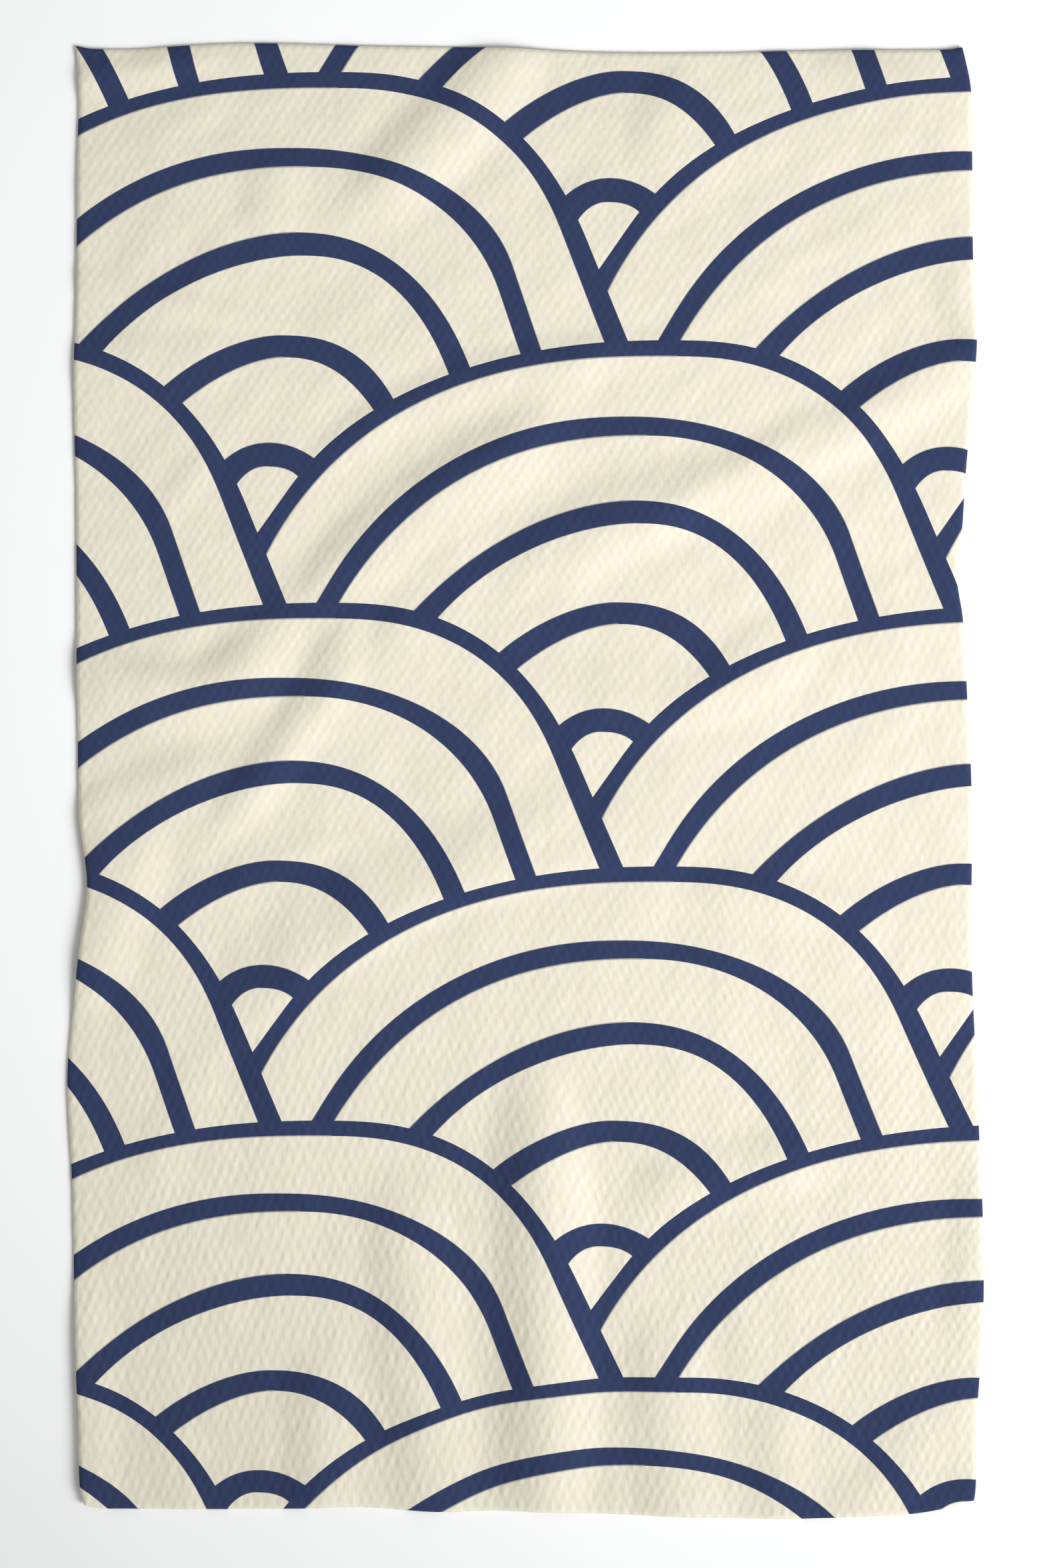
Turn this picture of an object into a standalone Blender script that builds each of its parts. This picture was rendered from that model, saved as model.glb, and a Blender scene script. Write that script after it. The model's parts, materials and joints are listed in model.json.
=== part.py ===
"""A printed tea towel that lies on a surface, face up, with the soft folds of a cloth that was
put down by hand.

One panel of cloth, hemmed on its four edges, is one closed solid. X runs across the towel, Y up
along its length and Z up from the surface. The cloth rests on Z = 0 between its folds, and the
folds are soft ridges that lift both faces. Sizes are in millimetres until the mesh is made.
"""

import math
from collections import namedtuple

import bpy
import numpy as np

METRES_PER_MM = 0.001

# The hemmed panel
PANEL_WIDTH = 456.0
PANEL_LENGTH = 746.0
CLOTH_THICKNESS = 1.5
HEM_WIDTH = 7.0
HEM_THICKNESS = 2.6
HEM_SHOULDER = 1.0
EDGE_ROUNDING = 0.7

# The mesh
LINE_SPACING = 12.5
FOLD_STEPS = 24
SHARP_EDGE_DEGREES = 50.0

# The share of a fold's length over which it rises from, and sinks back into, the flat cloth
FOLD_FADE = 0.3

# The width of a fold's tips as a share of its width in the middle
TIP_WIDTH = 0.6

# How far an edge lies outside a straight one. Side edges are measured down from the top,
# and the top and bottom edges from the left.
EdgePoint = namedtuple("EdgePoint", "along out")

LEFT_EDGE = (
    EdgePoint(0.0, -0.6),
    EdgePoint(14.0, -1.5),
    EdgePoint(60.0, -1.0),
    EdgePoint(125.0, -0.5),
    EdgePoint(165.0, 0.7),
    EdgePoint(230.0, -0.4),
    EdgePoint(350.0, -1.3),
    EdgePoint(395.0, -2.4),
    EdgePoint(427.0, -6.2),
    EdgePoint(460.0, -2.2),
    EdgePoint(490.0, 1.0),
    EdgePoint(518.0, 3.7),
    EdgePoint(585.0, 1.4),
    EdgePoint(665.0, -0.2),
    EdgePoint(710.0, -1.8),
    EdgePoint(746.0, -2.4),
)
RIGHT_EDGE = (
    EdgePoint(0.0, -4.8),
    EdgePoint(14.0, -1.0),
    EdgePoint(40.0, 0.0),
    EdgePoint(110.0, 1.0),
    EdgePoint(150.0, 2.6),
    EdgePoint(180.0, 0.6),
    EdgePoint(215.0, -2.7),
    EdgePoint(250.0, -5.0),
    EdgePoint(272.0, -7.2),
    EdgePoint(290.0, -4.6),
    EdgePoint(330.0, -2.2),
    EdgePoint(370.0, -0.2),
    EdgePoint(480.0, 0.5),
    EdgePoint(525.0, 2.6),
    EdgePoint(665.0, 5.4),
    EdgePoint(705.0, 2.6),
    EdgePoint(746.0, 2.4),
)
TOP_EDGE = (
    EdgePoint(0.0, -0.6),
    EdgePoint(25.0, -0.7),
    EdgePoint(75.0, 2.1),
    EdgePoint(160.0, 0.7),
    EdgePoint(215.0, 0.0),
    EdgePoint(270.0, -2.3),
    EdgePoint(330.0, -2.5),
    EdgePoint(370.0, -1.6),
    EdgePoint(456.0, -1.0),
)
BOTTOM_EDGE = (
    EdgePoint(0.0, -2.4),
    EdgePoint(110.0, -2.4),
    EdgePoint(135.0, -3.1),
    EdgePoint(185.0, -0.8),
    EdgePoint(215.0, -1.3),
    EdgePoint(245.0, -0.4),
    EdgePoint(390.0, 2.1),
    EdgePoint(430.0, -0.4),
    EdgePoint(456.0, -5.6),
)

# Where a corner is drawn out or rounded off: its side of the centre on each axis, how far its
# point moves across and up, and the distance over which that move fades.
Corner = namedtuple("Corner", "side end across up reach")

CORNERS = (
    Corner(side=-1, end=+1, across=-0.4, up=1.5, reach=5.0),
    Corner(side=+1, end=+1, across=0.4, up=1.0, reach=7.0),
    Corner(side=-1, end=-1, across=2.6, up=2.0, reach=9.0),
    Corner(side=+1, end=-1, across=-1.6, up=1.0, reach=9.0),
)

# Each fold is a soft ridge along a curve through three places on the towel, measured from its
# centre. The left and right half widths are those of its flanks, seen along the curve.
Fold = namedtuple("Fold", "name start middle end height left right")

FOLDS = (
    Fold("top slant", (11, 388), (-40, 333), (-101, 277), 3.6, 27, 25),
    Fold("top left nick", (-126, 324), (-129, 299), (-134, 272), 1.5, 23, 20),
    Fold("top middle dent", (83, 365), (71, 338), (56, 308), 2.0, 50, 18),
    Fold("top right pull", (139, 362), (195, 349), (229, 302), 2.6, 20, 20),
    Fold("upper left slope", (-263, 214), (-197, 217), (-111, 220), 0.9, 16, 24),
    Fold("main swag", (263, 241), (151, 176), (41, 124), 2.4, 27, 18),
    Fold("main swag, tail", (107, 163), (47, 133), (-25, 100), 2.6, 26, 24),
    Fold("second swag, upper", (111, 220), (-35, 203), (-129, 137), 1.7, 19, 14),
    Fold("second swag, lower", (39, 182), (-47, 147), (-133, 68), 3.1, 28, 21),
    Fold("second swag, tail", (-83, 94), (-113, 30), (-175, -46), 2.5, 17, 17),
    Fold("left arc, upper", (-263, 80), (-167, 46), (-121, 104), 3.3, 22, 27),
    Fold("left arc, lower", (-257, -52), (-197, -6), (-125, 2), 2.0, 18, 44),
    Fold("left edge pull", (-191, -18), (-210, -66), (-235, -130), 3.1, 25, 36),
    Fold("centre slope", (109, -36), (-53, -60), (-169, -154), 2.5, 18, 40),
    Fold("centre dent", (39, 6), (-5, -26), (-47, -60), 0.9, 18, 24),
    Fold("right centre slope", (7, 56), (89, 42), (155, 92), 1.9, 30, 21),
    Fold("lower left slope", (-157, -124), (-177, -170), (-195, -216), 0.9, 18, 17),
    Fold("lower main", (1, -124), (12, -264), (7, -430), 5.8, 30, 33),
    Fold("lower left", (-65, -190), (-55, -287), (-43, -424), 3.4, 30, 27),
    Fold("lower far left", (-105, -286), (-105, -336), (-104, -400), 2.2, 25, 23),
    Fold("lower right", (69, -262), (75, -330), (83, -430), 2.8, 28, 26),
    Fold("bottom right nick", (126, -312), (130, -352), (133, -424), 1.4, 20, 18),
    Fold("bottom right pull", (239, -298), (195, -342), (147, -404), 1.4, 25, 23),
    Fold("left edge curl", (-228, -240), (-227, -322), (-221, -408), 2.5, 24, 18),
    Fold("right edge curl", (231, -188), (229, -246), (227, -304), 1.5, 18, 18),
)

CREAM = (0.80, 0.77, 0.65, 1.0)
CLOTH_ROUGHNESS = 0.9


def clear_scene():
    for thing in list(bpy.data.objects):
        bpy.data.objects.remove(thing, do_unlink=True)


def smooth_through(points, places):
    """The smooth curve through a table of edge points, read at these places along it."""
    along = np.array([point.along for point in points])
    out = np.array([point.out for point in points])
    slope = np.gradient(out, along)
    index = np.clip(np.searchsorted(along, places, side="right") - 1, 0, len(along) - 2)
    step = along[index + 1] - along[index]
    share = np.clip((places - along[index]) / step, 0.0, 1.0)
    rise = share * share * (3.0 - 2.0 * share)
    leave = share * (1.0 - share) ** 2 * step
    arrive = -share * share * (1.0 - share) * step
    value = out[index] + (out[index + 1] - out[index]) * rise
    return value + slope[index] * leave + slope[index + 1] * arrive


def line_places(length):
    """Where the mesh lines cross the panel: close at each hem, then evenly spaced."""
    hem = [0.0, HEM_WIDTH / 2.0, HEM_WIDTH, HEM_WIDTH + HEM_SHOULDER]
    inner = length - 2.0 * hem[-1]
    count = round(inner / LINE_SPACING)
    between = [hem[-1] + inner * i / count for i in range(1, count)]
    far_hem = [length - place for place in reversed(hem)]
    return np.array(hem + between + far_hem)


def outline_place(across, down):
    """Where a point of the straight-edged panel lies once its edges have their real shape."""
    right_share = across / PANEL_WIDTH
    bottom_share = down / PANEL_LENGTH
    left_out = smooth_through(LEFT_EDGE, down) * (1.0 - right_share)
    right_out = smooth_through(RIGHT_EDGE, down) * right_share
    top_out = smooth_through(TOP_EDGE, across) * (1.0 - bottom_share)
    bottom_out = smooth_through(BOTTOM_EDGE, across) * bottom_share
    x = across - PANEL_WIDTH / 2.0 - left_out + right_out
    y = PANEL_LENGTH / 2.0 - down + top_out - bottom_out
    return x, y


def shape_corners(x, y):
    """Draws each corner out or rounds it off."""
    moved_x, moved_y = x.copy(), y.copy()
    for corner in CORNERS:
        away_x = x - corner.side * PANEL_WIDTH / 2.0
        away_y = y - corner.end * PANEL_LENGTH / 2.0
        share = np.exp(-(away_x**2 + away_y**2) / corner.reach**2)
        moved_x += corner.across * share
        moved_y += corner.up * share
    return moved_x, moved_y


def fold_line(fold):
    """Points along the curve that passes through a fold's start, middle and end."""
    start, middle, end = (np.array(place, float) for place in (fold.start, fold.middle, fold.end))
    handle = 2.0 * middle - (start + end) / 2.0
    t = np.linspace(0.0, 1.0, FOLD_STEPS + 1)[:, None]
    return (1.0 - t) ** 2 * start + 2.0 * t * (1.0 - t) * handle + t**2 * end


def ease(share):
    share = np.clip(share, 0.0, 1.0)
    return share * share * (3.0 - 2.0 * share)


def ridge(fold, x, y):
    """The height that one fold adds at each place."""
    line = fold_line(fold)
    nearest = np.full(x.shape, math.inf)
    height = np.zeros(x.shape)
    for step in range(FOLD_STEPS):
        a, b = line[step], line[step + 1]
        run_x, run_y = b - a
        length_squared = run_x**2 + run_y**2
        share = ((x - a[0]) * run_x + (y - a[1]) * run_y) / length_squared
        share = np.clip(share, 0.0, 1.0)
        off_x = x - a[0] - share * run_x
        off_y = y - a[1] - share * run_y
        distance = np.hypot(off_x, off_y)
        place = (step + share) / FOLD_STEPS
        envelope = ease(place / FOLD_FADE) * ease((1.0 - place) / FOLD_FADE)
        on_left = run_x * off_y - run_y * off_x > 0.0
        half_width = np.where(on_left, fold.left, fold.right)
        half_width = half_width * (TIP_WIDTH + (1.0 - TIP_WIDTH) * envelope)
        profile = np.clip(1.0 - (distance / half_width) ** 2, 0.0, None) ** 2
        closer = distance < nearest
        nearest = np.where(closer, distance, nearest)
        height = np.where(closer, fold.height * profile * envelope, height)
    return height


def thickness_at(from_edge):
    """The cloth is thick across its hem and thins over the hem's shoulder."""
    share = np.clip((from_edge - HEM_WIDTH) / HEM_SHOULDER, 0.0, 1.0)
    return HEM_THICKNESS + (CLOTH_THICKNESS - HEM_THICKNESS) * share


def outer_loop(rows, columns):
    """The grid's border in order, as row and column numbers."""
    top = [(0, column) for column in range(columns)]
    right = [(row, columns - 1) for row in range(1, rows)]
    bottom = [(rows - 1, column) for column in range(columns - 2, -1, -1)]
    left = [(row, 0) for row in range(rows - 2, 0, -1)]
    return top + right + bottom + left


def towel_surface():
    """The grids of X, Y, underside height and upper height."""
    across, down = np.meshgrid(line_places(PANEL_WIDTH), line_places(PANEL_LENGTH))
    x, y = shape_corners(*outline_place(across, down))
    x -= (x.min() + x.max()) / 2.0
    y -= (y.min() + y.max()) / 2.0
    underside = sum(ridge(fold, x, y) for fold in FOLDS)
    from_side = np.minimum(across, PANEL_WIDTH - across)
    from_end = np.minimum(down, PANEL_LENGTH - down)
    upper = underside + thickness_at(np.minimum(from_side, from_end))
    return x, y, underside, upper


def towel_mesh(x, y, underside, upper):
    """A closed sheet: an upper and a lower grid, joined by a rounded edge."""
    rows, columns = x.shape
    loop = outer_loop(rows, columns)
    upper_points = np.stack([x, y, upper], axis=-1).reshape(-1, 3)
    lower_points = np.stack([x, y, underside], axis=-1).reshape(-1, 3)
    centre = np.array([x.mean(), y.mean()])
    rim_points = []
    for row, column in loop:
        place = np.array([x[row, column], y[row, column]])
        outward = np.sign(place - centre) * [column in (0, columns - 1), row in (0, rows - 1)]
        outward = outward / np.linalg.norm(outward) * EDGE_ROUNDING
        middle = (upper[row, column] + underside[row, column]) / 2.0
        rim_points.append([*(place + outward), middle])
    points = np.concatenate([upper_points, lower_points, np.array(rim_points)])

    lower = rows * columns
    rim = 2 * rows * columns
    faces = []
    for row in range(rows - 1):
        for column in range(columns - 1):
            a = row * columns + column
            b, c, d = a + 1, a + columns + 1, a + columns
            faces.append((a, d, c, b))
            faces.append((lower + a, lower + b, lower + c, lower + d))
    for i, (row, column) in enumerate(loop):
        j = (i + 1) % len(loop)
        here = row * columns + column
        there = loop[j][0] * columns + loop[j][1]
        faces.append((here, there, rim + j, rim + i))
        faces.append((rim + i, rim + j, lower + there, lower + here))

    mesh = bpy.data.meshes.new("towel")
    mesh.from_pydata((points * METRES_PER_MM).tolist(), [], faces)
    mesh.shade_smooth()
    mesh.set_sharp_from_angle(angle=math.radians(SHARP_EDGE_DEGREES))
    return mesh


def cloth_material():
    material = bpy.data.materials.new("printed_cloth")
    material.use_nodes = True
    surface = material.node_tree.nodes["Principled BSDF"]
    surface.inputs["Base Color"].default_value = CREAM
    surface.inputs["Roughness"].default_value = CLOTH_ROUGHNESS
    surface.inputs["Metallic"].default_value = 0.0
    return material


def main():
    clear_scene()
    towel = bpy.data.objects.new("towel", towel_mesh(*towel_surface()))
    towel.data.materials.append(cloth_material())
    bpy.context.scene.collection.objects.link(towel)


main()
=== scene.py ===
"""The looks of the tea towel: one closed sheet of printed cloth that lies face up on a floor.

The sheet has the outline and the folds of the solid that it stands for, with finer folds between
them and soft edges. Its back shows the turned edge of the hem and the stitches that hold it. The
print is a repeat of overlapping scallops, which the material works out from a few sizes.

X runs across the towel, Y up along its length and Z up from the floor. The towel's sizes are in
millimetres until its mesh is made, and the stage's in metres.
"""

import json
import math
from collections import namedtuple

import bpy
import numpy as np
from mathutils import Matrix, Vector, noise

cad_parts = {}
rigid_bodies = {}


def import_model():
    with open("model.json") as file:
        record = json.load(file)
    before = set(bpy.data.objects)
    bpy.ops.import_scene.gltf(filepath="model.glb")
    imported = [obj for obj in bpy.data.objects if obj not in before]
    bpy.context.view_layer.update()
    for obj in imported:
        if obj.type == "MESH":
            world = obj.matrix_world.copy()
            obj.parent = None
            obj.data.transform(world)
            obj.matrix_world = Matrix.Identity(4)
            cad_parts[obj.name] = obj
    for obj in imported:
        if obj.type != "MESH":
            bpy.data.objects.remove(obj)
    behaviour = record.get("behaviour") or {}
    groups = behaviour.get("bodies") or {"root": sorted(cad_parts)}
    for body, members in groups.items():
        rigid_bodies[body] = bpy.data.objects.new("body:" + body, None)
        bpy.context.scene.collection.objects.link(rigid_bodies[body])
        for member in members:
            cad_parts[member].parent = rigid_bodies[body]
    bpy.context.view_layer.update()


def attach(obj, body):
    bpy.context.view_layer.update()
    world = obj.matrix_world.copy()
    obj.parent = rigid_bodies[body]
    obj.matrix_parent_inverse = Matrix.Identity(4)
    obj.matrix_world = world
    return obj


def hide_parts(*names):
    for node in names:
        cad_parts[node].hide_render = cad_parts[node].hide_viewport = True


METRES_PER_MM = 0.001

# The hemmed panel. The hem's cut edge is a narrow step on the back, and the single cloth inside
# it sinks back to the floor over a further distance.
PANEL_WIDTH = 456.0
PANEL_LENGTH = 746.0
CLOTH_THICKNESS = 1.3
HEM_WIDTH = 7.0
HEM_THICKNESS = 2.0
CUT_EDGE_WIDTH = 0.6
HEM_SINK = 20.0

# The panel's edge. Over the last of its width the cloth thins to a share of its thickness, and
# ends in a rim of points at these angles, in degrees up from level.
EDGE_SOFTNESS = 2.2
EDGE_SHARE = 0.65
EDGE_ROUNDING = 0.5
RIM_ANGLES = (55.0, 20.0, -20.0, -55.0)
EDGE_TOLERANCE = 0.01

# The mesh lines close to a hem, as distances from its edge, and the spacing of the others
HEM_LINES = (0.0, 0.7, 1.5, 2.5, 3.5, 4.3, 5.0, 5.7, 6.4, 7.0, 7.6, 9.5, 12.0)
LINE_SPACING = 3.2

# The line of stitches that holds the hem. It shows on the back alone: on the face it sinks into
# the thick cloth.
STITCH_LINE = 5.0
STITCH_LENGTH = 3.2
STITCH_SHARE = 0.78
THREAD_WIDTH = 0.5
THREAD_RISE = 0.12

# The small waves that the stitches draw into the hem
PUCKER_HEIGHT = 0.28
PUCKER_REACH = 7.0
PUCKER_LENGTHS = (23.0, 13.7, 8.9)

# Over this share of its length, at both ends, a fold rises from the flat cloth and widens from
# its tip. The tip's width is a share of its width in the middle.
FOLD_FADE = 0.3
TIP_WIDTH = 0.6
FOLD_STEPS = 24

# How far an edge lies outside a straight one. Side edges are measured down from the top,
# and the top and bottom edges from the left.
EdgePoint = namedtuple("EdgePoint", "along out")

LEFT_EDGE = (
    EdgePoint(0.0, -0.6),
    EdgePoint(14.0, -1.5),
    EdgePoint(60.0, -1.0),
    EdgePoint(125.0, -0.5),
    EdgePoint(165.0, 0.7),
    EdgePoint(230.0, -0.4),
    EdgePoint(350.0, -1.3),
    EdgePoint(395.0, -2.4),
    EdgePoint(427.0, -6.2),
    EdgePoint(460.0, -2.2),
    EdgePoint(490.0, 1.0),
    EdgePoint(518.0, 3.7),
    EdgePoint(585.0, 1.4),
    EdgePoint(665.0, -0.2),
    EdgePoint(710.0, -1.8),
    EdgePoint(746.0, -2.4),
)
RIGHT_EDGE = (
    EdgePoint(0.0, -4.8),
    EdgePoint(14.0, -1.0),
    EdgePoint(40.0, 0.0),
    EdgePoint(110.0, 1.0),
    EdgePoint(150.0, 2.6),
    EdgePoint(180.0, 0.6),
    EdgePoint(215.0, -2.7),
    EdgePoint(250.0, -5.0),
    EdgePoint(272.0, -7.2),
    EdgePoint(290.0, -4.6),
    EdgePoint(330.0, -2.2),
    EdgePoint(370.0, -0.2),
    EdgePoint(480.0, 0.5),
    EdgePoint(525.0, 2.6),
    EdgePoint(665.0, 5.4),
    EdgePoint(705.0, 2.6),
    EdgePoint(746.0, 2.4),
)
TOP_EDGE = (
    EdgePoint(0.0, -0.6),
    EdgePoint(25.0, -0.7),
    EdgePoint(75.0, 2.1),
    EdgePoint(160.0, 0.7),
    EdgePoint(215.0, 0.0),
    EdgePoint(270.0, -2.3),
    EdgePoint(330.0, -2.5),
    EdgePoint(370.0, -1.6),
    EdgePoint(456.0, -1.0),
)
BOTTOM_EDGE = (
    EdgePoint(0.0, -2.4),
    EdgePoint(110.0, -2.4),
    EdgePoint(135.0, -3.1),
    EdgePoint(185.0, -0.8),
    EdgePoint(215.0, -1.3),
    EdgePoint(245.0, -0.4),
    EdgePoint(390.0, 2.1),
    EdgePoint(430.0, -0.4),
    EdgePoint(456.0, -5.6),
)

# Where a corner is drawn out or rounded off: its side of the centre on each axis, how far its
# point moves across and up, and the distance over which that move fades.
Corner = namedtuple("Corner", "side end across up reach")

CORNERS = (
    Corner(side=-1, end=+1, across=-0.4, up=1.5, reach=5.0),
    Corner(side=+1, end=+1, across=0.4, up=2.2, reach=7.0),
    Corner(side=-1, end=-1, across=2.6, up=2.0, reach=9.0),
    Corner(side=+1, end=-1, across=-1.6, up=1.0, reach=9.0),
)

# Each fold is a soft ridge along a curve through three places on the towel, measured from its
# centre. The left and right half widths are those of its flanks, seen along the curve.
Fold = namedtuple("Fold", "name start middle end height left right")

FOLDS = (
    Fold("top slant", (11, 388), (-40, 333), (-101, 277), 3.6, 27, 25),
    Fold("top left nick", (-126, 324), (-129, 299), (-134, 272), 1.5, 23, 20),
    Fold("top middle dent", (83, 365), (71, 338), (56, 308), 2.0, 50, 18),
    Fold("top right pull", (139, 362), (195, 349), (229, 302), 2.6, 20, 20),
    Fold("upper left slope", (-263, 214), (-197, 217), (-111, 220), 0.9, 16, 24),
    Fold("main swag", (263, 241), (151, 176), (41, 124), 2.4, 27, 18),
    Fold("main swag, tail", (107, 163), (47, 133), (-25, 100), 2.6, 26, 24),
    Fold("second swag, upper", (111, 220), (-35, 203), (-129, 137), 1.7, 19, 14),
    Fold("second swag, lower", (39, 182), (-47, 147), (-133, 68), 3.1, 28, 21),
    Fold("second swag, tail", (-83, 94), (-113, 30), (-175, -46), 2.5, 17, 17),
    Fold("left arc, upper", (-263, 80), (-167, 46), (-121, 104), 3.3, 22, 27),
    Fold("left arc, lower", (-257, -52), (-197, -6), (-125, 2), 2.0, 18, 44),
    Fold("left edge pull", (-191, -18), (-210, -66), (-235, -130), 3.1, 25, 36),
    Fold("centre slope", (109, -36), (-53, -60), (-169, -154), 2.5, 18, 40),
    Fold("centre dent", (39, 6), (-5, -26), (-47, -60), 0.9, 18, 24),
    Fold("right centre slope", (7, 56), (89, 42), (155, 92), 1.9, 30, 21),
    Fold("lower left slope", (-157, -124), (-177, -170), (-195, -216), 0.9, 18, 17),
    Fold("lower main", (1, -124), (12, -264), (7, -430), 5.8, 30, 33),
    Fold("lower left", (-65, -190), (-55, -287), (-43, -424), 3.4, 30, 27),
    Fold("lower far left", (-105, -286), (-105, -336), (-104, -400), 2.2, 25, 23),
    Fold("lower right", (69, -262), (75, -330), (83, -430), 2.8, 28, 26),
    Fold("bottom right nick", (126, -312), (130, -352), (133, -424), 1.4, 20, 18),
    Fold("bottom right pull", (239, -298), (195, -342), (147, -404), 1.4, 25, 23),
    Fold("left edge curl", (-228, -240), (-227, -322), (-221, -408), 2.5, 24, 18),
    Fold("right edge curl", (231, -188), (229, -246), (227, -304), 1.5, 18, 18),
)

# Folds too slight for the solid
SMALL_FOLDS = (
    Fold("top left ripple", (-237, 352), (-205, 361), (-141, 368), 1.7, 12, 12),
    Fold("right edge nick", (213, 262), (225, 236), (237, 214), 1.5, 15, 15),
    Fold("right middle slope", (79, -50), (127, -62), (189, -66), 1.5, 18, 16),
    Fold("lower right slope", (49, -214), (104, -200), (175, -186), 2.1, 22, 22),
    Fold("lower left ripple", (-187, -320), (-179, -350), (-173, -390), 0.8, 18, 14),
    Fold("upper left arc", (-233, 268), (-197, 246), (-91, 231), 0.9, 10, 11),
    Fold("tail head", (-51, 92), (-79, 60), (-115, 16), 1.3, 30, 15),
    Fold("centre ripple", (-187, -68), (-139, -46), (-81, -26), 0.8, 13, 12),
    Fold("left arc, crest", (-243, 74), (-178, 47), (-131, 88), 1.0, 16, 24),
    Fold("left crease", (-193, 126), (-174, 151), (-155, 178), 0.6, 11, 11),
)

# The soft unevenness between the folds: its length along and across the lie of the folds, how
# far it lifts the cloth, and where in the noise it is read.
Unevenness = namedtuple("Unevenness", "along across height offset")

UNEVENNESS = (
    Unevenness(along=90.0, across=46.0, height=1.5, offset=3.1),
    Unevenness(along=36.0, across=17.0, height=0.8, offset=11.7),
    Unevenness(along=17.0, across=9.5, height=0.3, offset=23.9),
)

# The lie of the folds, in degrees from the X axis
LIE_OF_FOLDS_TOP = 38.0
LIE_OF_FOLDS_BOTTOM = 84.0

# The unevenness is this much stronger at the top. Towards a hem it falls to a share of itself.
UNEVENNESS_TOP_GAIN = 0.4
EDGE_CALM_SHARE = 0.4
EDGE_CALM_REACH = 35.0

# The print's repeat. Column and row zero meet at PRINT_START. The rows slant a little and come
# closer together down the towel, and every second row is half a column further on. A place's
# column and row depend on each other, and are worked out in rounds.
PRINT_START = (-130.3, 295.9)
COLUMN_STEP = 344.2
COLUMN_SPREAD = 1.42
COLUMN_DRIFT = -1.97
COLUMN_CURVE = 0.12
ROW_STEP = 136.7
ROW_SLANT = 1.92
ROW_SPREAD = 0.37
ROW_CLOSING = 0.955
PLACE_ROUNDS = 8

# Where the cloth is pulled out of square, and carries the print along: the pull's middle, how far
# it moves the print across and up, and the distances over which that fades.
Pull = namedtuple("Pull", "x y across up fade_x fade_y")

PULLS = (
    Pull(x=-190, y=390, across=-6.0, up=0.0, fade_x=110, fade_y=65),
    Pull(x=-160, y=380, across=3.2, up=0.0, fade_x=52, fade_y=18),
    Pull(x=220, y=385, across=3.6, up=0.0, fade_x=80, fade_y=100),
    Pull(x=0, y=380, across=0.0, up=-1.3, fade_x=500, fade_y=55),
    Pull(x=-240, y=-80, across=2.6, up=0.9, fade_x=80, fade_y=190),
    Pull(x=-240, y=-320, across=2.8, up=0.4, fade_x=70, fade_y=100),
    Pull(x=245, y=-60, across=1.6, up=1.6, fade_x=70, fade_y=170),
    Pull(x=240, y=-215, across=2.5, up=0.0, fade_x=60, fade_y=70),
    Pull(x=235, y=-370, across=9.5, up=0.0, fade_x=120, fade_y=125),
    Pull(x=50, y=20, across=-1.3, up=0.0, fade_x=100, fade_y=80),
    Pull(x=5, y=-220, across=-2.2, up=0.2, fade_x=60, fade_y=100),
    Pull(x=-40, y=-380, across=0.0, up=1.5, fade_x=210, fade_y=70),
    Pull(x=-240, y=-390, across=0.0, up=2.5, fade_x=50, fade_y=60),
)

# One scallop, with its own column and row spacing. Its lines lie between pairs of arches. Each
# arch has a crest, measured from the scallop's own place. Half of a rounded rectangle falls from
# the crest on either side. Its reach is its width, its drop the height over which it turns, and
# its power how square it is. Some halves also lean outwards.
SCALLOP_COLUMN = 346.0
SCALLOP_ROW = 132.3

Side = namedtuple("Side", "reach drop power lean", defaults=(0.0,))
Arch = namedtuple("Arch", "crest_x crest_y left right")

OUTERMOST_ARCH = Arch(37.0, 196.5, Side(145, 77, 2.37, 0.71), Side(90, 88, 2.6, 0.43))
INNER_ARCHES = (
    Arch(36.5, 188.5, Side(233, 230, 2.5), Side(84, 73, 2.5, 0.41)),
    Arch(13.0, 158.5, Side(103, 85, 2.35, 0.60), Side(91, 59, 2.2, 0.36)),
    Arch(21.0, 149.0, Side(187, 221, 2.25), Side(75, 63, 2.27, 0.36)),
    Arch(13.5, 116.5, Side(163, 177, 1.8), Side(67, 78, 2.45, 0.35)),
    Arch(16.5, 105.0, Side(121, 93, 1.77), Side(56, 71, 2.6, 0.35)),
    Arch(5.5, 65.5, Side(88, 76, 1.68), Side(50, 56, 2.75, 0.35)),
    Arch(8.0, 54.5, Side(109, 133, 1.7), Side(42, 63, 2.55, 0.35)),
    Arch(1.5, 12.0, Side(41, 57, 2.1), Side(44, 56, 2.0, 0.10)),
    Arch(0.0, 0.0, Side(23, 41, 2.1), Side(25, 34, 2.6)),
)

# The width over which the edge of a line blurs
PRINT_BLUR = 0.35

# The weave: staggered cells, longer towards the bottom. Their rows rise in an arch where the
# cloth was pulled out of square.
CELL_WIDTH = 5.3
CELL_LENGTH_TOP = 7.7
CELL_LENGTH_BOTTOM = 12.0
BOW_SLANT = 0.12
BOW_HEIGHT = 29.8
BOW_HALF_WIDTH = 260.0
BOW_CENTRE = -50.0
BOW_PLACE = -95.0
BOW_REACH = 146.0
CELL_RELIEF = 0.105
# Painted shade: the cells' hollows darken the cloth's colour and their raised tops lighten it, by
# this share
CELL_HOLLOW_SHADE = 0.16
FIBRE_SIZE = 0.9
FIBRE_DETAIL = 2.0
FIBRE_RELIEF = 0.045
SLUB_SIZE = 0.75
SLUB_DETAIL = 1.0
SLUB_RELIEF = 0.30
PATCH_SIZE = 14.0
PATCH_DETAIL = 3.0
PATCH_SHARE = 0.62
PATCH_MEAN = 0.5

# The weave stands out more towards the bottom: by this much, from this share of the length on,
# and in full after a further share
WEAVE_GROWTH = 0.55
WEAVE_GROWTH_START = 0.5
WEAVE_GROWTH_RUN = 0.35
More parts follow.
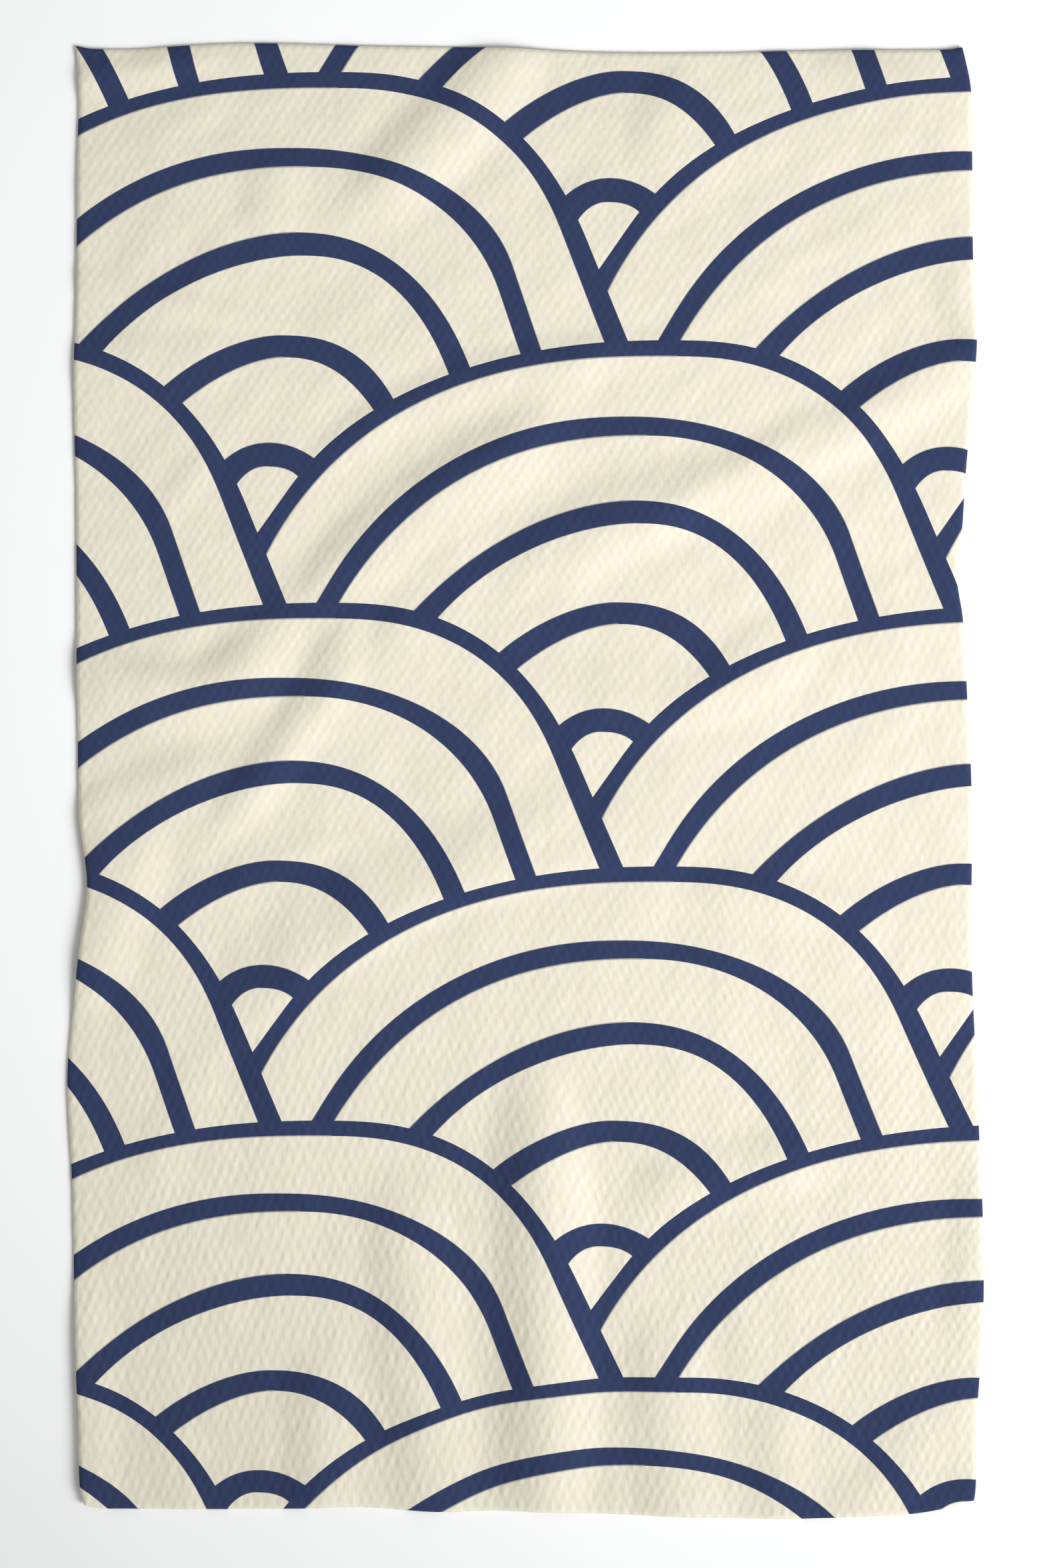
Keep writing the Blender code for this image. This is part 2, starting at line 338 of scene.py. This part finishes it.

# Colours and finish. Each colour runs from its dark to its light end with random tone, and with
# painted shade in the weave's hollows. The ink shows through to the back at a share of its
# strength.
CREAM_LIGHT = (0.822, 0.77, 0.638, 1.0)
CREAM_DARK = (0.72, 0.669, 0.538, 1.0)
NAVY_LIGHT = (0.031, 0.048, 0.125, 1.0)
NAVY_DARK = (0.021, 0.033, 0.083, 1.0)
THREAD = (0.66, 0.62, 0.50, 1.0)
THREAD_COVER = 0.8
SHOW_THROUGH = 0.10
CLOTH_ROUGHNESS = (0.78, 0.94)
SHEEN_WEIGHT = 0.08
SHEEN_ROUGHNESS = 0.5
SPECULAR_LEVEL = 0.2

# The map of the cloth, with its back beside its face
UV_WIDTH = 1000.0
UV_BACK_SHIFT = 500.0
UV_MARGIN = 10.0

# The towel's material slots
PRINTED_FACE, HEM_BACK, PLAIN_BACK = range(3)

# The floor, just below the cloth
FLOOR_SIZE = 8.0
FLOOR_DROP = 0.0001
FLOOR_COLOUR = (0.95, 0.95, 0.95, 1.0)
FLOOR_ROUGHNESS = 0.9
FLOOR_SPECULAR_LEVEL = 0.1

# The photograph's frame, and the camera
PHOTO_WIDTH_PX = 1568
PHOTO_HEIGHT_PX = 2352
MM_PER_PX = 0.34
TOWEL_CENTRE_PX = (788.4, 1171.5)
CAMERA_HEIGHT = 2.4
SENSOR_MM = 36.0

# The light, with its spread in degrees, and the surround
KEY_DIRECTION = (0.694, -0.338, 0.635)
KEY_DISTANCE = 2.0
KEY_SIZE = 1.3
KEY_AIM = (0.05, 0.20, 0.0)
KEY_SPREAD = 62.0
KEY_POWER = 9.1
KEY_COLOUR = (0.985, 1.0, 1.03)
SKY_STRENGTH = 0.39
SKY_COLOUR = (1.0, 0.997, 0.965, 1.0)


def ease(share):
    """A smooth rise from 0 to 1 as the share does the same."""
    share = np.clip(share, 0.0, 1.0)
    return share * share * (3.0 - 2.0 * share)


def smooth_through(points, places):
    """The smooth curve through a table of edge points, read at these places along it."""
    along = np.array([point.along for point in points])
    out = np.array([point.out for point in points])
    slope = np.gradient(out, along)
    index = np.clip(np.searchsorted(along, places, side="right") - 1, 0, len(along) - 2)
    step = along[index + 1] - along[index]
    share = np.clip((places - along[index]) / step, 0.0, 1.0)
    leave = share * (1.0 - share) ** 2 * step
    arrive = -share * share * (1.0 - share) * step
    value = out[index] + (out[index + 1] - out[index]) * ease(share)
    return value + slope[index] * leave + slope[index + 1] * arrive


def line_places(length):
    """Where the mesh lines cross the panel: close at each hem, then evenly spaced."""
    hem = list(HEM_LINES)
    inner = length - 2.0 * hem[-1]
    count = round(inner / LINE_SPACING)
    between = [hem[-1] + inner * i / count for i in range(1, count)]
    far_hem = [length - place for place in reversed(hem)]
    return np.array(hem + between + far_hem)


def outline_place(across, down):
    """Where a point of the straight-edged panel lies once its edges have their real shape."""
    right_share = across / PANEL_WIDTH
    bottom_share = down / PANEL_LENGTH
    left_out = smooth_through(LEFT_EDGE, down) * (1.0 - right_share)
    right_out = smooth_through(RIGHT_EDGE, down) * right_share
    top_out = smooth_through(TOP_EDGE, across) * (1.0 - bottom_share)
    bottom_out = smooth_through(BOTTOM_EDGE, across) * bottom_share
    x = across - PANEL_WIDTH / 2.0 - left_out + right_out
    y = PANEL_LENGTH / 2.0 - down + top_out - bottom_out
    return x, y


def shape_corners(x, y):
    """Draws each corner out or rounds it off."""
    moved_x, moved_y = x.copy(), y.copy()
    for corner in CORNERS:
        away_x = x - corner.side * PANEL_WIDTH / 2.0
        away_y = y - corner.end * PANEL_LENGTH / 2.0
        share = np.exp(-(away_x**2 + away_y**2) / corner.reach**2)
        moved_x += corner.across * share
        moved_y += corner.up * share
    return moved_x, moved_y


def fold_line(fold):
    """Points along the curve that passes through a fold's start, middle and end."""
    start, middle, end = (np.array(place, float) for place in (fold.start, fold.middle, fold.end))
    handle = 2.0 * middle - (start + end) / 2.0
    t = np.linspace(0.0, 1.0, FOLD_STEPS + 1)[:, None]
    return (1.0 - t) ** 2 * start + 2.0 * t * (1.0 - t) * handle + t**2 * end


def ridge(fold, x, y):
    """The height that one fold adds at each place."""
    line = fold_line(fold)
    nearest = np.full(x.shape, math.inf)
    height = np.zeros(x.shape)
    for step in range(FOLD_STEPS):
        a, b = line[step], line[step + 1]
        run_x, run_y = b - a
        length_squared = run_x**2 + run_y**2
        share = ((x - a[0]) * run_x + (y - a[1]) * run_y) / length_squared
        share = np.clip(share, 0.0, 1.0)
        off_x = x - a[0] - share * run_x
        off_y = y - a[1] - share * run_y
        distance = np.hypot(off_x, off_y)
        place = (step + share) / FOLD_STEPS
        envelope = ease(place / FOLD_FADE) * ease((1.0 - place) / FOLD_FADE)
        on_left = run_x * off_y - run_y * off_x > 0.0
        half_width = np.where(on_left, fold.left, fold.right)
        half_width = half_width * (TIP_WIDTH + (1.0 - TIP_WIDTH) * envelope)
        profile = np.clip(1.0 - (distance / half_width) ** 2, 0.0, None) ** 2
        closer = distance < nearest
        nearest = np.where(closer, distance, nearest)
        height = np.where(closer, fold.height * profile * envelope, height)
    return height


def unevenness(x, y):
    """The soft lift between the folds. It runs aslant at the top and downwards at the bottom."""
    lower_share = ease(0.5 - y / PANEL_LENGTH)
    angle = np.radians(LIE_OF_FOLDS_TOP + (LIE_OF_FOLDS_BOTTOM - LIE_OF_FOLDS_TOP) * lower_share)
    along = x * np.cos(angle) + y * np.sin(angle)
    across = y * np.cos(angle) - x * np.sin(angle)
    lift = np.zeros(x.shape)
    for layer in UNEVENNESS:
        places = zip((along / layer.along).flat, (across / layer.across).flat)
        values = [noise.noise(Vector((a, b, layer.offset))) for a, b in places]
        lift += layer.height * (0.5 + 0.5 * np.array(values).reshape(x.shape))
    return lift * (1.0 + UNEVENNESS_TOP_GAIN * (1.0 - lower_share))


def pucker(along, from_edge, phase):
    """The small waves that stitches draw into one hem."""
    wave = np.zeros(along.shape)
    for i, length in enumerate(PUCKER_LENGTHS):
        wave += np.sin(math.tau * along / length + phase * (i + 1))
    share = 0.5 + 0.5 * wave / len(PUCKER_LENGTHS)
    return PUCKER_HEIGHT * share * np.exp(-(((from_edge - STITCH_LINE) / PUCKER_REACH) ** 2))


def hem_relief(across, down):
    """The puckers of the four hems."""
    relief = np.zeros(across.shape)
    hems = (
        (down, across),
        (down, PANEL_WIDTH - across),
        (across, down),
        (across, PANEL_LENGTH - down),
    )
    for phase, (along, from_edge) in enumerate(hems):
        relief += pucker(along, from_edge, phase + 1.0)
    return relief


def edge_distance(across, down):
    """How far inside the panel's nearest edge each place lies."""
    from_side = np.minimum(across, PANEL_WIDTH - across)
    from_end = np.minimum(down, PANEL_LENGTH - down)
    return np.minimum(from_side, from_end)


def hem_step(from_edge):
    """How far the underside lies off the floor inside the hem's turned edge."""
    step = HEM_THICKNESS - CLOTH_THICKNESS
    rise = np.clip((from_edge - HEM_WIDTH) / CUT_EDGE_WIDTH, 0.0, 1.0)
    sink = ease((from_edge - HEM_WIDTH - CUT_EDGE_WIDTH) / HEM_SINK)
    return step * rise * (1.0 - sink)


def sheet_thickness(from_edge):
    """Two layers across the hem, one inside it, and a soft rounding at the very edge."""
    single = np.clip((from_edge - HEM_WIDTH) / CUT_EDGE_WIDTH, 0.0, 1.0)
    full = HEM_THICKNESS + (CLOTH_THICKNESS - HEM_THICKNESS) * single
    turn = np.clip(from_edge / EDGE_SOFTNESS, 0.0, 1.0)
    share = EDGE_SHARE + (1.0 - EDGE_SHARE) * np.sqrt(1.0 - (1.0 - turn) ** 2)
    return full * share


def cloth_place(across, down, centre=(0.0, 0.0)):
    """Where the flat cloth's places lie on the floor, measured from the centre. Beyond its edges
    the cloth runs straight on."""
    x, y = shape_corners(*outline_place(across, down))
    return x - centre[0], y - centre[1]


def print_place(x, y):
    """The print's column and row, as real numbers, at each place."""
    pulled_x, pulled_y = x, y
    for pull in PULLS:
        share = np.exp(-(((x - pull.x) / pull.fade_x) ** 2) - ((y - pull.y) / pull.fade_y) ** 2)
        pulled_x = pulled_x - pull.across * share
        pulled_y = pulled_y - pull.up * share
    return column_and_row(pulled_x, pulled_y)


def column_and_row(x, y):
    """The print's column and row where nothing pulls the cloth."""
    column = (x - PRINT_START[0]) / COLUMN_STEP
    row = (PRINT_START[1] - y) / ROW_STEP
    for _ in range(PLACE_ROUNDS):
        shift = COLUMN_DRIFT * row + COLUMN_CURVE * row**2
        column = (x - PRINT_START[0] - shift) / (COLUMN_STEP + COLUMN_SPREAD * row)
        below = PRINT_START[1] - y - ROW_SLANT * column
        row = (below + ROW_CLOSING * row**2) / (ROW_STEP + ROW_SPREAD * column)
    return column, row


def weave_place(x, y):
    """How many cells across and along the weave each place lies."""
    bow = BOW_SLANT * x - BOW_HEIGHT * np.cos(math.pi * (x - BOW_CENTRE) / BOW_HALF_WIDTH)
    share = np.exp(-(((y - BOW_PLACE) / BOW_REACH) ** 2) / 2.0)
    down = PANEL_LENGTH / 2.0 - y - bow * share
    closing = (1.0 - CELL_LENGTH_TOP / CELL_LENGTH_BOTTOM) / (2.0 * PANEL_LENGTH)
    return x / CELL_WIDTH, down / CELL_LENGTH_TOP * (1.0 - closing * down)


def weave_strength(down):
    """How far the weave stands out at each place: 1 in the upper half, more towards the bottom."""
    share = (down / PANEL_LENGTH - WEAVE_GROWTH_START) / WEAVE_GROWTH_RUN
    return 1.0 + WEAVE_GROWTH * ease(share)


def outer_loop(rows, columns):
    """The grid's border in order, as row and column numbers."""
    top = [(0, column) for column in range(columns)]
    right = [(row, columns - 1) for row in range(1, rows)]
    bottom = [(rows - 1, column) for column in range(columns - 2, -1, -1)]
    left = [(row, 0) for row in range(rows - 2, 0, -1)]
    return np.array(top + right + bottom + left)


def beyond_edge(across, down, distance):
    """The flat cloth's places that lie this far outside the border points."""
    out_x = np.where(across <= 0.0, -1.0, np.where(across >= PANEL_WIDTH, 1.0, 0.0))
    out_y = np.where(down <= 0.0, -1.0, np.where(down >= PANEL_LENGTH, 1.0, 0.0))
    length = np.hypot(out_x, out_y)
    return across + out_x / length * distance, down + out_y / length * distance


def turned_under(across, down, wrap):
    """The flat cloth's places that lie on the back of the hem, mirrored over its edge."""
    turned = []
    for place, length in ((across, PANEL_WIDTH), (down, PANEL_LENGTH)):
        near = place < HEM_WIDTH + EDGE_TOLERANCE
        far = length - place < HEM_WIDTH + EDGE_TOLERANCE
        place = np.where(near, -place - wrap, place)
        turned.append(np.where(far, 2.0 * length - place + wrap, place))
    return turned


# What the sheet has at each point of a grid: its place on the flat cloth, its place on the floor
# and the heights of its two faces
Sheet = namedtuple("Sheet", "across down x y upper underside")


def sheet_heights(across, down, x, y):
    """How high the cloth's upper face and its underside lie."""
    from_edge = edge_distance(across, down)
    lift = sum(ridge(fold, x, y) for fold in FOLDS + SMALL_FOLDS)
    calm = EDGE_CALM_SHARE + (1.0 - EDGE_CALM_SHARE) * ease(from_edge / EDGE_CALM_REACH)
    lift = lift + unevenness(x, y) * calm + hem_relief(across, down)
    lift -= lift.min()
    underside = lift + hem_step(from_edge)
    return underside + sheet_thickness(from_edge), underside


def rim_rings(border, outward, wrap):
    """The rim's points and their places on the flat cloth, ring by ring."""
    out_x, out_y = outward
    middle = (border.upper + border.underside) / 2.0
    half = (border.upper - border.underside) / 2.0
    points, flat = [], []
    for angle in RIM_ANGLES:
        turn = math.radians(angle)
        reach = EDGE_ROUNDING * math.cos(turn)
        x, y = border.x + out_x * reach, border.y + out_y * reach
        points.append(np.stack([x, y, middle + half * math.sin(turn)], -1))
        wrapped = wrap * (0.5 - turn / math.pi)
        flat.append(np.stack(beyond_edge(border.across, border.down, wrapped), -1))
    return points, flat


def towel_points():
    """Every vertex's place and its place on the flat cloth, the outline's centre and the grid's
    size."""
    across, down = np.meshgrid(line_places(PANEL_WIDTH), line_places(PANEL_LENGTH))
    x, y = cloth_place(across, down)
    centre = ((x.min() + x.max()) / 2.0, (y.min() + y.max()) / 2.0)
    x, y = x - centre[0], y - centre[1]
    upper, underside = sheet_heights(across, down, x, y)
    sheet = Sheet(across, down, x, y, upper, underside)

    # A step of 1 mm beyond the border gives the way out from it
    loop = outer_loop(*x.shape)
    border = Sheet(*(grid[loop[:, 0], loop[:, 1]] for grid in sheet))
    out_x, out_y = cloth_place(*beyond_edge(border.across, border.down, 1.0), centre)
    outward = (out_x - border.x, out_y - border.y)
    half = (border.upper - border.underside) / 2.0
    wrap = half.mean() * math.pi / 2.0 + EDGE_ROUNDING

    sides = ((across, down), turned_under(across, down, wrap))
    points = [np.stack([x, y, height], -1).reshape(-1, 3) for height in (upper, underside)]
    flat = [np.stack(places, -1).reshape(-1, 2) for places in sides]
    rim_points, rim_flat = rim_rings(border, outward, wrap)
    return np.concatenate(points + rim_points), np.concatenate(flat + rim_flat), centre, x.shape


def towel_faces(rows, columns):
    """The faces of the upper grid, the lower grid and the rounded rim, each as an array."""
    index = np.arange(rows * columns).reshape(rows, columns)
    a, b = index[:-1, :-1], index[:-1, 1:]
    c, d = index[1:, 1:], index[1:, :-1]
    upper = np.stack([a, d, c, b], -1).reshape(-1, 4)
    lower = np.stack([a, b, c, d], -1).reshape(-1, 4) + rows * columns
    border = outer_loop(rows, columns)
    edge = border[:, 0] * columns + border[:, 1]
    loops = [edge]
    for ring in range(len(RIM_ANGLES)):
        loops.append(2 * rows * columns + ring * len(edge) + np.arange(len(edge)))
    loops.append(edge + rows * columns)
    rim = []
    for near, far in zip(loops, loops[1:]):
        rim.append(np.stack([near, np.roll(near, -1), np.roll(far, -1), far], -1))
    return upper, lower, np.concatenate(rim)


def add_place_attribute(mesh, name, first, second, third=0.0):
    """Stores three numbers for each vertex, for the material to read."""
    attribute = mesh.attributes.new(name, "FLOAT_VECTOR", "POINT")
    values = np.stack(np.broadcast_arrays(first, second, third), -1)
    attribute.data.foreach_set("vector", values.astype(np.float32).ravel())


def add_cloth_map(mesh, across, down, behind):
    """Lays the face, with its rim, beside the back on one UV map."""
    uv = mesh.uv_layers.new(name="cloth").data
    corners = np.zeros(len(mesh.loops), np.int32)
    mesh.loops.foreach_get("vertex_index", corners)
    shift = UV_MARGIN + UV_BACK_SHIFT * np.repeat(behind, 4)
    u = (across[corners] + shift) / UV_WIDTH
    v = 1.0 - (down[corners] + UV_MARGIN) / UV_WIDTH
    uv.foreach_set("uv", np.stack([u, v], -1).astype(np.float32).ravel())


def towel_mesh():
    """The closed sheet, with what its materials read at each vertex."""
    points, flat, centre, (rows, columns) = towel_points()
    upper, lower, rim = towel_faces(rows, columns)
    faces = np.concatenate([upper, rim, lower])
    mesh = bpy.data.meshes.new("towel_cloth")
    mesh.from_pydata((points * METRES_PER_MM).tolist(), [], faces.tolist())
    mesh.shade_smooth()

    # Behind, the hem shows the printed side with its stitches, and the rest the unprinted side
    count = rows * columns
    straight = np.concatenate([flat[:count], flat[:count], flat[2 * count:]])
    across, down = straight.T
    inside_hem = edge_distance(across, down) > HEM_WIDTH + EDGE_TOLERANCE
    inner = inside_hem[lower - count].any(axis=1)
    slots = np.full(len(faces), PRINTED_FACE, np.int32)
    slots[-len(lower):] = np.where(inner, PLAIN_BACK, HEM_BACK)
    mesh.polygons.foreach_set("material_index", slots)

    x, y = cloth_place(flat[:, 0], flat[:, 1], centre)
    add_place_attribute(mesh, "print_place", *print_place(x, y))
    add_place_attribute(mesh, "weave_place", *weave_place(x, y))
    add_place_attribute(mesh, "panel_place", across, down, weave_strength(down))
    add_cloth_map(mesh, across, down, slots != PRINTED_FACE)
    mesh.update()
    return mesh


class Signal:
    """A number on a node's output. Each operator adds the Math node that works it out."""

    def __init__(self, socket):
        self.socket = socket

    def __add__(self, other):
        return work_out("ADD", self, other)

    def __sub__(self, other):
        return work_out("SUBTRACT", self, other)

    def __rsub__(self, other):
        return work_out("SUBTRACT", other, self)

    def __mul__(self, other):
        return work_out("MULTIPLY", self, other)

    def __pow__(self, power):
        return work_out("POWER", self, power)

    def __lt__(self, other):
        return work_out("LESS_THAN", self, other)

    def __gt__(self, other):
        return work_out("GREATER_THAN", self, other)


def work_out(operation, *values, clamp=False):
    """Adds a Math node on these signals and numbers."""
    tree = next(value.socket.id_data for value in values if isinstance(value, Signal))
    node = tree.nodes.new("ShaderNodeMath")
    node.operation = operation
    node.use_clamp = clamp
    for socket, value in zip(node.inputs, values):
        if isinstance(value, Signal):
            tree.links.new(value.socket, socket)
        else:
            socket.default_value = value
    return Signal(node.outputs[0])


def not_below_zero(value):
    return work_out("MAXIMUM", value, 0.0)


def floor_of(value):
    return work_out("FLOOR", value)


def choose(share, where_none, where_full):
    """One signal where the share is 0, the other where it is 1."""
    return where_none + (where_full - where_none) * share


def mix_colours(share, where_none, where_full):
    """A colour between two, each a socket or a fixed colour."""
    tree = share.socket.id_data
    node = tree.nodes.new("ShaderNodeMix")
    node.data_type = "RGBA"
    tree.links.new(share.socket, node.inputs["Factor"])
    factor, a, b = (socket for socket in node.inputs if socket.enabled)
    for socket, colour in ((a, where_none), (b, where_full)):
        if isinstance(colour, bpy.types.NodeSocket):
            tree.links.new(colour, socket)
        else:
            socket.default_value = colour
    return next(socket for socket in node.outputs if socket.enabled)


def read_place(tree, name):
    """The three numbers that the mesh stores for each vertex, and their vector."""
    attribute = tree.nodes.new("ShaderNodeAttribute")
    attribute.attribute_name = name
    split = tree.nodes.new("ShaderNodeSeparateXYZ")
    tree.links.new(attribute.outputs["Vector"], split.inputs[0])
    return *(Signal(split.outputs[axis]) for axis in "XYZ"), attribute.outputs["Vector"]


def read_noise(tree, vector, size, detail):
    """Cloudy noise, about 0 to 1, in patches of this size in the vector's own unit."""
    texture = tree.nodes.new("ShaderNodeTexNoise")
    texture.inputs["Scale"].default_value = 1.0 / size
    texture.inputs["Detail"].default_value = detail
    tree.links.new(vector, texture.inputs["Vector"])
    return Signal(texture.outputs[0])


def outside_arch(arch, x, y):
    """Below 1 inside an arch, 1 on it and above 1 outside it."""
    drop = arch.crest_y - y
    left_x = arch.crest_x - x
    right_x = x - arch.crest_x
    total = choose(right_x > 0.0, fall(arch.left, drop), fall(arch.right, drop))
    for side, across in ((arch.left, left_x), (arch.right, right_x)):
        leaning = across - drop * side.lean if side.lean else across
        total = total + not_below_zero(leaning * (1.0 / side.reach)) ** side.power
    return total


def fall(side, drop):
    """How much of an arch's height is left at this drop below its crest, as its power has it."""
    return not_below_zero(1.0 - drop * (1.0 / side.drop)) ** side.power


def inside_arch(arch, x, y):
    """1 inside an arch, 0 outside it and a narrow blur between."""
    size = min(arch.left.reach, arch.left.drop, arch.right.reach, arch.right.drop)
    steepness = size / arch.left.power / PRINT_BLUR
    outside = outside_arch(arch, x, y)
    return work_out("MULTIPLY_ADD", outside, -steepness, steepness + 0.5, clamp=True)


def scallop_place(column, row):
    """The place within the scallop that shows: of four that overlap, the one in front."""
    reach = (OUTERMOST_ARCH.crest_y - SCALLOP_ROW) / SCALLOP_ROW
    front_row = floor_of(row + (reach + 1.0))
    front_y = (front_row - row) * SCALLOP_ROW
    rear_y = front_y - SCALLOP_ROW
    front_offset = 0.5 - work_out("FLOORED_MODULO", front_row, 2.0) * 0.5
    front_share = work_out("FRACT", column - front_offset)
    rear_share = work_out("FRACT", front_share + 0.5)
    front_x = front_share * SCALLOP_COLUMN
    rear_x = rear_share * SCALLOP_COLUMN
    second_x = front_x - SCALLOP_COLUMN

    # Where a place is in none of the first three scallops, it is in the fourth
    in_first = outside_arch(OUTERMOST_ARCH, front_x, front_y) < 1.0
    in_second = outside_arch(OUTERMOST_ARCH, second_x, front_y) < 1.0
    in_third = outside_arch(OUTERMOST_ARCH, rear_x, rear_y) < 1.0
    x = choose(in_third, rear_x - SCALLOP_COLUMN, rear_x)
    x = choose(in_first, choose(in_second, x, second_x), front_x)
    y = choose(work_out("MAXIMUM", in_first, in_second), rear_y, front_y)
    return x, y


def scallop_print(column, row):
    """1 on the print's lines and 0 between them. From the outside in, the first arch ends a line,
    the next begins one, and so on."""
    x, y = scallop_place(column, row)
    ink = 1.0
    for i, arch in enumerate(INNER_ARCHES):
        inside = inside_arch(arch, x, y)
        ink = inside + ink if i % 2 else inside * -1.0 + ink
    return work_out("ADD", ink, 0.0, clamp=True)


def woven_cells(across, along):
    """The weave's height, -1 to 1: staggered rows of raised cells."""
    return work_out("COSINE", across * math.tau) * work_out("COSINE", along * math.tau)


def stitches(across, down):
    """1 along the middle of each stitch of the hem, 0 away from them."""
    from_side = work_out("MINIMUM", across, PANEL_WIDTH - across)
    from_end = work_out("MINIMUM", down, PANEL_LENGTH - down)
    total = 0.0
    for from_edge, other, along in ((from_side, from_end, down), (from_end, from_side, across)):
        off_line = work_out("ABSOLUTE", from_edge - STITCH_LINE)
        thread = work_out("MULTIPLY_ADD", off_line, -1.0 / THREAD_WIDTH, 1.0, clamp=True)
        stitch = work_out("FRACT", along * (1.0 / STITCH_LENGTH)) < STITCH_SHARE
        within = other > STITCH_LINE - THREAD_WIDTH
        total = thread * stitch * within + total
    return work_out("ADD", total, 0.0, clamp=True)


def cloth_material(name, ink_strength, stitched=False):
    """The woven, printed cloth. The ink is full on its face and shows through faintly behind."""
    material = bpy.data.materials.new(name)
    material.use_nodes = True
    tree = material.node_tree
    surface = tree.nodes["Principled BSDF"]
    column, row, _, _ = read_place(tree, "print_place")
    cell_across, cell_along, _, weave = read_place(tree, "weave_place")
    across, down, strength, panel = read_place(tree, "panel_place")

    fibres = read_noise(tree, panel, FIBRE_SIZE, FIBRE_DETAIL)
    slubs = read_noise(tree, weave, SLUB_SIZE, SLUB_DETAIL) * strength
    patches = read_noise(tree, panel, PATCH_SIZE, PATCH_DETAIL)
    cells = woven_cells(cell_across, cell_along) * strength * patches * (1.0 / PATCH_MEAN)
    ink = scallop_print(column, row) * ink_strength
    height = cells * (CELL_RELIEF / 2.0) + slubs * SLUB_RELIEF + fibres * FIBRE_RELIEF

    # Painted shade from the weave's cells, darker in their hollows, plus random tone from fibres
    # and patches
    shade_and_tone = cells * CELL_HOLLOW_SHADE + choose(PATCH_SHARE, fibres, patches)
    cream = mix_colours(shade_and_tone, CREAM_DARK, CREAM_LIGHT)
    navy = mix_colours(shade_and_tone, NAVY_DARK, NAVY_LIGHT)
    coloured = mix_colours(ink, cream, navy)
    if stitched:
        thread = stitches(across, down)
        coloured = mix_colours(thread * THREAD_COVER, coloured, THREAD)
        height = height + thread * THREAD_RISE
    tree.links.new(coloured, surface.inputs["Base Color"])
    set_finish(tree, surface, fibres)
    raise_relief(tree, surface, height)
    return material


def set_finish(tree, surface, fibres):
    """Matt cloth with a faint sheen, a little rougher on some fibres."""
    low, high = CLOTH_ROUGHNESS
    roughness = fibres * (high - low) + low
    tree.links.new(roughness.socket, surface.inputs["Roughness"])
    surface.inputs["Metallic"].default_value = 0.0
    surface.inputs["Specular IOR Level"].default_value = SPECULAR_LEVEL
    surface.inputs["Sheen Weight"].default_value = SHEEN_WEIGHT
    surface.inputs["Sheen Roughness"].default_value = SHEEN_ROUGHNESS


def raise_relief(tree, surface, height):
    """Lets the surface catch the light as if raised by this height, in millimetres."""
    bump = tree.nodes.new("ShaderNodeBump")
    bump.inputs["Strength"].default_value = 1.0
    bump.inputs["Distance"].default_value = METRES_PER_MM
    tree.links.new(height.socket, bump.inputs["Height"])
    tree.links.new(bump.outputs["Normal"], surface.inputs["Normal"])


def add_towel():
    """The towel in place of its solid, a sheet that lies on the floor."""
    towel = bpy.data.objects.new("towel_cloth", towel_mesh())
    towel.data.materials.append(cloth_material("printed_face", 1.0))
    towel.data.materials.append(cloth_material("hem_back", 1.0, stitched=True))
    towel.data.materials.append(cloth_material("plain_back", SHOW_THROUGH))
    bpy.context.scene.collection.objects.link(towel)
    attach(towel, "root")
    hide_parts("towel")


def add_floor():
    """A wide, plain, pale floor."""
    mesh = bpy.data.meshes.new("floor")
    half = FLOOR_SIZE / 2.0
    corners = [(-half, -half), (half, -half), (half, half), (-half, half)]
    mesh.from_pydata([(x, y, -FLOOR_DROP) for x, y in corners], [], [(0, 1, 2, 3)])
    floor = bpy.data.objects.new("floor", mesh)
    material = bpy.data.materials.new("pale_floor")
    material.use_nodes = True
    surface = material.node_tree.nodes["Principled BSDF"]
    surface.inputs["Base Color"].default_value = FLOOR_COLOUR
    surface.inputs["Roughness"].default_value = FLOOR_ROUGHNESS
    surface.inputs["Specular IOR Level"].default_value = FLOOR_SPECULAR_LEVEL
    mesh.materials.append(material)
    bpy.context.scene.collection.objects.link(floor)


def add_lights():
    """A soft light from the right, a little from below, and an even white surround."""
    key = bpy.data.lights.new("key", "AREA")
    key.shape = "SQUARE"
    key.size = KEY_SIZE
    key.energy = KEY_POWER
    key.color = KEY_COLOUR
    key.spread = math.radians(KEY_SPREAD)
    holder = bpy.data.objects.new("key", key)
    holder.location = Vector(KEY_DIRECTION).normalized() * KEY_DISTANCE
    aim = holder.location - Vector(KEY_AIM)
    holder.rotation_euler = aim.to_track_quat("Z", "Y").to_euler()
    bpy.context.scene.collection.objects.link(holder)

    world = bpy.data.worlds.new("surround")
    world.use_nodes = True
    background = world.node_tree.nodes["Background"]
    background.inputs["Color"].default_value = SKY_COLOUR
    background.inputs["Strength"].default_value = SKY_STRENGTH
    bpy.context.scene.world = world


def add_camera():
    """Straight above the towel, with the photograph's frame."""
    camera = bpy.data.cameras.new("camera")
    frame_height = PHOTO_HEIGHT_PX * MM_PER_PX * METRES_PER_MM
    camera.sensor_width = SENSOR_MM
    camera.lens = SENSOR_MM * CAMERA_HEIGHT / frame_height
    holder = bpy.data.objects.new("camera", camera)
    right = (PHOTO_WIDTH_PX / 2.0 - TOWEL_CENTRE_PX[0]) * MM_PER_PX * METRES_PER_MM
    up = (TOWEL_CENTRE_PX[1] - PHOTO_HEIGHT_PX / 2.0) * MM_PER_PX * METRES_PER_MM
    holder.location = (right, up, CAMERA_HEIGHT)
    bpy.context.scene.collection.objects.link(holder)
    bpy.context.scene.camera = holder


def main():
    for thing in list(bpy.data.objects):
        bpy.data.objects.remove(thing, do_unlink=True)
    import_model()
    bpy.context.scene.view_settings.view_transform = "Standard"
    add_floor()
    add_lights()
    add_camera()
    add_towel()
    bpy.context.view_layer.update()


main()
